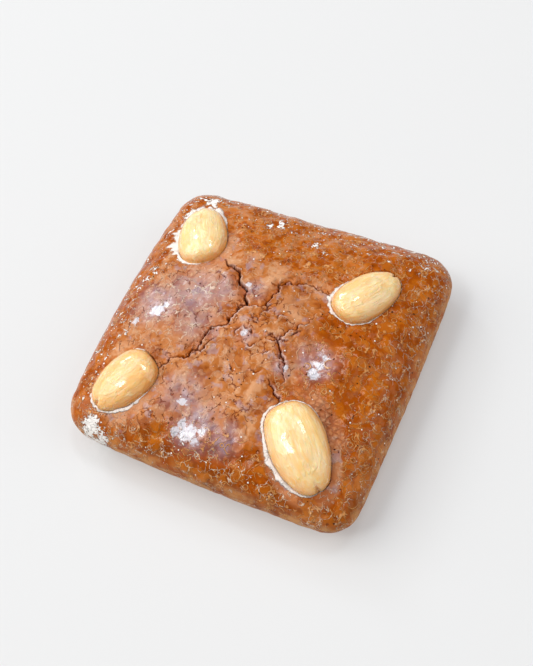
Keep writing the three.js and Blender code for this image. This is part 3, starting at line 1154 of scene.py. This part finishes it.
# %% Layers of the base
AMBER_DARK = colour(139, 61, 0)
AMBER = colour(161, 73, 0)
AMBER_PALE = colour(183, 95, 10)
SKIN_DARK = colour(148, 70, 14)
SKIN = colour(181, 105, 46)
SKIN_PALE = colour(204, 145, 102)
FILM_SKIN = colour(200, 144, 106)
COLLAR_TAN = colour(190, 122, 82)
WALL_OCHRE = colour(222, 162, 98)
DARK_LEVELS = (0.32, 0.48)
PALE_LEVELS = (0.52, 0.68)
TONE_SIZE = 3.8
PIT_SIZE = 1.7
POOL_SIZE = 5.0
POOL_REACH = 1.7
COLLAR_HOLD = 0.85
COLLAR_STRENGTH = 0.6
WALL_TOP = 15.0
WALL_FOOT = 9.0


def three_tones(board, value, dark, middle, pale):
    """A colour that goes from dark through middle to pale as a value rises from 0 to 1."""
    low = board.blend(board.step(value, *DARK_LEVELS), dark, middle)
    return board.blend(board.step(value, *PALE_LEVELS), low, pale)


def base_tone(board, place, uneven, pool):
    """How light each place is: soft patches, pits where the glaze is thick, and painted shade on the front
    edge.
    """
    pitted = board.mask("pitted")
    tone = board.nudged(board.noise(uneven, TONE_SIZE), board.noise(place, 1.2, detail=1.0), 0.16)
    # Painted shade: the front edge is darkened.
    tone = board.plus(board.plus(tone, pitted, 0.1), board.mask("deep"), -0.15)
    pits = board.cells(board.wander(place, 1.1, 1.6), PIT_SIZE)["Distance"]
    pits = board.step(pits, 0.1, 0.75, -0.5, 0.5)
    return board.plus(tone, pits, board.plus(board.times(pool, 0.1), pitted, 0.16))


def base_layer(board, place, uneven):
    """Amber pools and baked skin, each in three soft tones, and tan collars beside the almonds."""
    collars = board.mask("collar")
    zone = board.outside(board.mask("amber"), board.times(collars, COLLAR_HOLD))
    zone = board.nudged(zone, board.noise(uneven, POOL_SIZE, detail=3.0), POOL_REACH)
    pool = board.step(zone, 0.2, 0.8)
    tone = base_tone(board, place, uneven, pool)
    amber = three_tones(board, tone, AMBER_DARK, AMBER, AMBER_PALE)
    amber = board.lay(amber, FILM_SKIN, board.mask("pitted"), board.step(tone, 0.62, 0.85, 0.0, 0.5))
    skin = three_tones(board, tone, SKIN_DARK, SKIN, SKIN_PALE)
    paint = board.lay(board.blend(pool, skin, amber), COLLAR_TAN, collars, COLLAR_STRENGTH)
    return paint, tone, pool


def wall_layer(board, place, paint):
    """Paler, drier dough low on the walls."""
    wall = board.times(board.step(board.third(place), WALL_TOP, WALL_FOOT), board.mask("dry"))
    ragged = board.step(board.noise(place, 3.0), 0.35, 0.65, 0.0, 0.7)
    return board.lay(paint, WALL_OCHRE, wall, ragged), wall


print("base colours: amber", np.round(AMBER, 3), "skin", np.round(SKIN, 3))

# %% [markdown]
# Film, bloom and sheen
#
# Where the glaze ran thin it dried as lobed patches with a pale edge. In places it bloomed: the sugar turned
# milky, in facets with cream seams between them, and the lilac there is also painted sheen, standing for the
# lamps mirrored in the glaze. Both are thin coats, so they are painted rather than modelled, and their edges
# are the levels of one noise.

# %% Layers of film, bloom and painted sheen
FILM_AMBER = colour(190, 108, 30)
LILAC_BLOOM_AND_SHEEN = colour(160, 147, 163)
VEIN_PALE = colour(246, 226, 202)
FILM_SIZE = 3.4
FILM_LEVEL = 0.54
FILM_STRENGTH = 0.45
FACET_SIZE = 2.6
SEAM_STRENGTH = 0.6


def film_layer(board, place, pool, paint):
    """Lobed patches of thin tan glaze with pale edges."""
    bent = board.wander(place, 1.4, 1.0)
    depth = board.math("SUBTRACT", board.noise(bent, FILM_SIZE, distortion=0.4), FILM_LEVEL)
    film = board.step(depth, -0.03, 0.06)
    paint = board.lay(paint, board.blend(pool, FILM_SKIN, FILM_AMBER), film, FILM_STRENGTH)
    edge = board.times(board.contour(depth, 0.0, 0.02), board.patches(place, 1.9, 0.42, 0.58, detail=2.0))
    return paint, film, edge


def bloom_and_sheen_layer(board, place, pool, paint):
    """Milky facets where the glaze blooms, their lilac partly painted sheen, with cream seams between them.
    """
    bent = board.wander(place, 1.8, 1.5)
    scaly = board.mask("scaly")
    pick = board.add("ShaderNodeSeparateColor", None, {"Color": board.cells(bent, FACET_SIZE)["Color"]})
    facets = board.nudged(board.noise(bent, 2.4), pick.outputs[0], board.times(scaly, 0.6))
    thinnest = board.step(scaly, 0.0, 1.0, 0.2, 0.5)
    milky_sheen = board.step(facets, 0.3, 0.7, thinnest, 0.74)
    milky_sheen = board.times(board.step(board.mask("bloom_and_sheen"), 0.15, 0.9), milky_sheen)
    patches = board.step(board.noise(bent, 3.0), 0.56, 0.66, 0.0, 0.4)
    milky_sheen = board.either(milky_sheen, board.outside(patches, pool))
    broken = board.times(scaly, board.patches(place, 2.0, 0.48, 0.57, detail=2.0))
    seam = board.times(board.net(bent, FACET_SIZE, 0.07, 0.03), broken)
    # The lilac laid here is partly painted sheen, standing for lamps mirrored in the glaze.
    paint = board.blend(milky_sheen, paint, LILAC_BLOOM_AND_SHEEN)
    return board.lay(paint, VEIN_PALE, seam, SEAM_STRENGTH), milky_sheen, seam


print("film and bloom are ready")

# %% [markdown]
# Lines and creases
#
# Close up, the glaze is full of fine pale lines: rims of burst bubbles, wandering threads, and veins near the
# sides. The rims and threads, with the edges of the film, are partly painted glints along small ridges. The
# dry skin has short creases instead, and beside the front almond the dough is squeezed into a net of
# wrinkles;
# both are darkened with painted shade. Noise breaks every line up, because unbroken ones would look drawn.

# %% Layers of lines and creases
LINE_AMBER = colour(214, 150, 88)
LINE_PALE = colour(240, 206, 172)
CREASE_SHADE = colour(126, 38, 0)
THREAD_SIZE = 4.6
THREAD_LEVELS = 6.0
VEIN_SIZE = 2.0
CREASE_SIZE = 3.0
WRINKLE_SIZE = 1.3
WRINKLE_SHARE = 0.7
DISC_STRENGTH = 0.1
LINE_STRENGTH = 0.85
VEIN_STRENGTH = 0.6
CREASE_STRENGTH = 0.75


def line_layer(board, place, uneven, pool, edge, paint):
    """Pale lines: film edges, bubble rims and wandering threads, partly painted glints, and veins near the
    sides.
    """
    large = pattern(board, "bubbles", Place=uneven, Cell=4.0, Thickness=0.17, Share=0.75)
    small = pattern(board, "bubbles", Place=place, Cell=2.2, Thickness=0.14, Share=0.4)
    paint = board.lay(paint, board.blend(pool, FILM_SKIN, FILM_AMBER), large["Disc"], DISC_STRENGTH)
    rims = board.times(board.either(large["Rim"], small["Rim"]), board.patches(place, 2.4, 0.42, 0.56))
    field = board.noise(place, THREAD_SIZE, detail=1.0, distortion=0.6)
    threads = board.contour(board.math("FRACT", board.times(field, THREAD_LEVELS)), 0.5, 0.07)
    threads = board.times(threads, board.patches(place, 2.6, 0.5, 0.6))
    fine = board.times(board.either(edge, rims, threads), board.step(pool, 0.0, 1.0, 0.3, 1.0))
    paint = board.lay(paint, board.blend(pool, LINE_PALE, LINE_AMBER), fine, LINE_STRENGTH)
    veins = board.net(board.wander(place, 1.3, 1.9), VEIN_SIZE, 0.045, 0.015)
    veins = board.times(board.times(veins, board.patches(place, 2.2, 0.47, 0.55)), board.mask("webbed"))
    return board.lay(paint, VEIN_PALE, veins, VEIN_STRENGTH), board.either(fine, veins)


def crease_layer(board, place, pool, wall, paint):
    """Painted shade in short creases on bare skin, and in a net of them where an almond squeezed the dough.
    """
    clusters = board.times(board.patches(place, 1.8, 0.5, 0.57), board.patches(place, 7.0, 0.44, 0.54))
    bare = board.outside(clusters, board.either(pool, wall, board.mask("collar")))
    creases = board.times(board.net(board.wander(place, 1.2, 1.6), CREASE_SIZE, 0.045, 0.012), bare)
    wrinkles = board.net(board.wander(place, 1.0, 0.6), WRINKLE_SIZE, 0.3, 0.0)
    wrinkles = board.times(wrinkles, board.mask("wrinkled"))
    # Painted shade in the creases and the wrinkles.
    dark = board.either(creases, board.times(wrinkles, WRINKLE_SHARE))
    return board.lay(paint, CREASE_SHADE, dark, CREASE_STRENGTH), dark


print("lines and creases are ready")

# %% [markdown]
# Specks, cracks and sugar
#
# Last come the small marks on top: dark pores, painted as shade, amber pits, white specks that are sugar and
# painted glints, the cracks with painted shade in their slot and a pale lip partly painted as highlight,
# painted highlights on the smooth pools, and the dried sugar. The masks on the mesh say where each is, and
# noise makes its edge ragged.

# %% Layers of specks, cracks and sugar
PORE_SHADE = colour(78, 22, 0)
CRACK_SHADE = colour(106, 26, 0)
CRACK_AMBER = colour(182, 90, 8)
LIP_PALE_HIGHLIGHT = colour(222, 190, 180)
HIGHLIGHT_WHITE = colour(232, 236, 246)
SUGAR_AND_GLINT_WHITE = colour(255, 252, 247)
SPRINKLED = ("bloom_and_sheen", "flaked", "pitted", "webbed")
SPRINKLED_AMBER = 0.4
PIT_STRENGTH = 0.7
SLOPE_STRENGTH = 0.7
COARSE_SIZE = 1.5
FINE_SIZE = 0.8
FLAKE_SIZE = 1.3
HIGHLIGHT_STRENGTH = 0.7
SUGAR_STRENGTH = 0.92


def speck_layer(board, place, uneven, paint):
    """Dark pores painted as shade, amber pits, and white specks that are sugar and painted glints."""
    crowded = board.step(board.noise(place, 6.0, detail=1.0), 0.42, 0.62, 0.06, 0.34)
    sprinkled = [board.mask(name) for name in SPRINKLED]
    sprinkled = board.either(*sprinkled, board.times(board.mask("amber"), SPRINKLED_AMBER))
    share = board.step(sprinkled, 0.1, 0.7, 0.28, 0.48)
    # Pores: dots of painted shade.
    pores = pattern(board, "dots", Place=uneven, Cell=1.2, Radius=0.30, Share=crowded)["Dot"]
    pits = pattern(board, "dots", Place=place, Cell=3.4, Radius=0.55, Share=0.3)["Dot"]
    # Specks: white dots, partly sugar and partly painted glints.
    specks = pattern(board, "dots", Place=place, Cell=1.7, Radius=0.32, Share=share)["Dot"]
    paint = board.blend(pores, board.lay(paint, AMBER_DARK, pits, PIT_STRENGTH), PORE_SHADE)
    return board.blend(specks, paint, SUGAR_AND_GLINT_WHITE), board.either(pores, pits), specks


def crack_layer(board, place, paint):
    """Deep amber on the rolled side, a pale torn lip partly painted as highlight, and painted shade in the
    slot.
    """
    paint = board.lay(paint, CRACK_AMBER, board.mask("crack_slope"), SLOPE_STRENGTH)
    torn = board.step(board.noise(place, 2.2), 0.42, 0.6, 0.1, 0.9)
    # The pale lip is partly a painted highlight.
    paint = board.lay(paint, LIP_PALE_HIGHLIGHT, board.mask("crack_lip"), torn)
    # Painted shade in the slot.
    return board.blend(board.mask("crack"), paint, CRACK_SHADE)


def sugar_layer(board, place, paint):
    """Painted highlights on the smooth pools, and dried sugar against the almonds, in splashes and in flakes.
    """
    coarse = board.noise(place, COARSE_SIZE, detail=4.0, roughness=0.7)
    fine = board.noise(place, FINE_SIZE, detail=4.0, roughness=0.65)
    painted_highlight = board.step(board.nudged(board.mask("painted_highlight"), coarse, 1.6), 0.5, 0.75)
    splash = board.nudged(board.mask("splash"), board.nudged(coarse, fine, 0.9), 2.1)
    flaked = board.mask("flaked")
    flakes = board.noise(place, FLAKE_SIZE, detail=3.0, roughness=0.6, distortion=0.6)
    flakes = board.plus(flakes, flaked, 0.14)
    flakes = board.times(board.step(flakes, 0.71, 0.74), board.step(flaked, 0.1, 0.5))
    rim = board.step(board.nudged(board.mask("sugar_rim"), fine, 1.2), 0.25, 0.85, 0.0, 0.9)
    sugar = board.either(board.step(splash, 0.55, 0.7), rim, flakes)
    # Painted highlight laid in white on the smooth pools.
    paint = board.lay(paint, HIGHLIGHT_WHITE, painted_highlight, HIGHLIGHT_STRENGTH)
    return board.lay(paint, SUGAR_AND_GLINT_WHITE, sugar, SUGAR_STRENGTH), sugar, painted_highlight


print("specks, cracks and sugar are ready")

# %% [markdown]
# The whole crust
#
# The layers go on one after another. Most of them also raise or lower the bump, so that light catches the
# lines and rims. The wet glaze is a clear coat, strongest on the milky patches, whose lilac is partly painted
# sheen, and on the painted highlights, and a warm tint keeps the amber under it from looking dusty. Sugar,
# dry walls and cracks have no coat.

# %% Mix the crust
CRUST_SHINE = {"Specular IOR Level": 0.22, "Specular Tint": (1.0, 0.8, 0.55, 1.0), "Coat Roughness": 0.1}
CRUST_BUMP = 0.48 * MM
GRAIN_SIZE = 0.6
GRAIN_REACH = 0.12
MILKY_COAT = 0.55
POOL_COAT = 0.1


def crust_shine(board, shader, pool, wall, milky_sheen, sugar, painted_highlight, grain):
    """How rough each place is, and how much clear coat it has."""
    smoothest = board.step(pool, 0.0, 1.0, 0.24, 0.14)
    rough = board.step(board.either(sugar, board.times(wall, 0.7)), 0.0, 1.0, smoothest, 0.7)
    board.feed(shader.inputs["Roughness"], board.nudged(rough, grain, GRAIN_REACH))
    wet = board.either(board.times(board.either(milky_sheen, painted_highlight), MILKY_COAT), board.times(pool, POOL_COAT))
    matt = board.either(sugar, wall, board.mask("crack"))
    board.feed(shader.inputs["Coat Weight"], board.outside(wet, matt))
    set_inputs(shader, CRUST_SHINE)


def crust_material():
    material, board, shader = new_material("glazed_crust")
    place = board.millimetres()
    uneven = board.wander(place, 2.5, 1.6)
    grain = board.noise(place, GRAIN_SIZE)
    paint, tone, pool = base_layer(board, place, uneven)
    paint, wall = wall_layer(board, place, paint)
    paint, film, edge = film_layer(board, place, pool, paint)
    paint, milky_sheen, seams = bloom_and_sheen_layer(board, place, pool, paint)
    paint, lines = line_layer(board, place, uneven, pool, edge, paint)
    paint, creases = crease_layer(board, place, pool, wall, paint)
    paint, pores, specks = speck_layer(board, place, uneven, paint)
    paint = crack_layer(board, place, paint)
    paint, sugar, painted_highlight = sugar_layer(board, place, paint)
    board.feed(shader.inputs["Base Color"], paint)
    crust_shine(board, shader, pool, wall, milky_sheen, sugar, painted_highlight, grain)

    height = board.times(lines, 0.5)
    raised = ((tone, 0.4), (grain, 0.08), (film, 0.25), (seams, 0.4), (specks, 0.2), (sugar, 0.9))
    sunk = ((pores, -0.9), (creases, -0.5))
    for layer, rise in raised + sunk:
        height = board.plus(height, layer, rise)
    board.feed(shader.inputs["Normal"], board.bump(height, CRUST_BUMP))
    return material


biscuit.data.materials.append(crust_material())
print("crust nodes:", len(biscuit.data.materials[0].node_tree.nodes))

# %% [markdown]
# The almond flesh
#
# Blanched almond is cream, with streaks and pale furrows along its length, and light sinks a little way into
# it. It turns honey-gold towards the dough, painted as warm shade on its underside. The streaks read the
# almond's own lengthwise coordinate, kept on its points, so they run along every almond whichever way it
# lies.

# %% Mix the almond flesh
FLESH_PALE = colour(255, 228, 179)
FLESH = colour(255, 209, 136)
FLESH_GOLD = colour(245, 172, 84)
FLESH_SHADE_AMBER = colour(232, 148, 50)
FLESH_SPOT = colour(176, 112, 52)
STREAK_SCALE = (1.4, 6.5, 6.5)
FLESH_SHINE = {
    "Subsurface Weight": 0.55,
    "Subsurface Radius": (1.0, 0.6, 0.3),
    "Subsurface Scale": 3.0 * MM,
    "Specular IOR Level": 0.3,
    "Coat Roughness": 0.04,
}
FLESH_BUMP = 0.4 * MM
FLESH_BUMP_STRENGTH = 0.85
CLOUD_SIZE = 4.0
FURROW_SIZE = 1.6
FURROW_STRENGTH = 0.5
SPOT_STRENGTH = 0.6


def flesh_paint(board, place, kernel, streaks, clouds, furrows):
    """Cream streaks, a golden roast, painted warm shade towards the dough, pale furrows and a few spots."""
    paint = board.blend(board.step(streaks, 0.35, 0.7), FLESH_PALE, FLESH)
    golden = board.nudged(board.mask("roast"), clouds, 1.0)
    paint = board.blend(board.step(golden, 0.0, 1.4, 0.0, 0.8), paint, FLESH_GOLD)
    # Painted warm shade, deepening towards the dough on the almond's underside.
    paint = board.blend(board.step(board.third(kernel), 0.8, 0.05, 0.0, 0.75), paint, FLESH_SHADE_AMBER)
    paint = board.lay(paint, FLESH_PALE, furrows, FURROW_STRENGTH)
    spots = pattern(board, "dots", Place=place, Cell=4.0, Radius=0.35, Share=0.25)["Dot"]
    return board.lay(paint, FLESH_SPOT, spots, SPOT_STRENGTH)


def almond_material():
    material, board, shader = new_material("blanched_almond")
    place = board.millimetres()
    kernel = board.add("ShaderNodeAttribute", {"attribute_name": "kernel"}).outputs["Vector"]
    drawn = board.vector("MULTIPLY", kernel, STREAK_SCALE)
    streaks = board.noise(drawn, 1.0, detail=3.0, roughness=0.6)
    clouds = board.noise(place, CLOUD_SIZE)
    furrows = board.noise(board.wander(drawn, 2.5, 1.5), FURROW_SIZE, detail=1.0)
    furrows = board.contour(furrows, 0.5, 0.045)
    furrows = board.times(furrows, board.patches(place, 2.6, 0.46, 0.58))
    board.feed(shader.inputs["Base Color"], flesh_paint(board, place, kernel, streaks, clouds, furrows))
    board.feed(shader.inputs["Roughness"], board.step(streaks, 0.3, 0.7, 0.12, 0.32))
    board.feed(shader.inputs["Coat Weight"], board.step(clouds, 0.35, 0.55, 0.3, 1.0))
    set_inputs(shader, FLESH_SHINE)
    height = board.plus(board.plus(streaks, clouds, 0.8), furrows, 0.35)
    board.feed(shader.inputs["Normal"], board.bump(height, FLESH_BUMP, FLESH_BUMP_STRENGTH))
    return material


flesh = almond_material()
for piece in almonds.values():
    piece.data.materials.append(flesh)
print("almond nodes:", len(flesh.node_tree.nodes))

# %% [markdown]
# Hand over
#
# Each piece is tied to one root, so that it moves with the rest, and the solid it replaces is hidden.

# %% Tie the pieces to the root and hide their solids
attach(biscuit, "root")
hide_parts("biscuit")
for name, piece in almonds.items():
    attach(piece, "root")
    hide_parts(name)
print(1 + len(almonds), "pieces are tied")
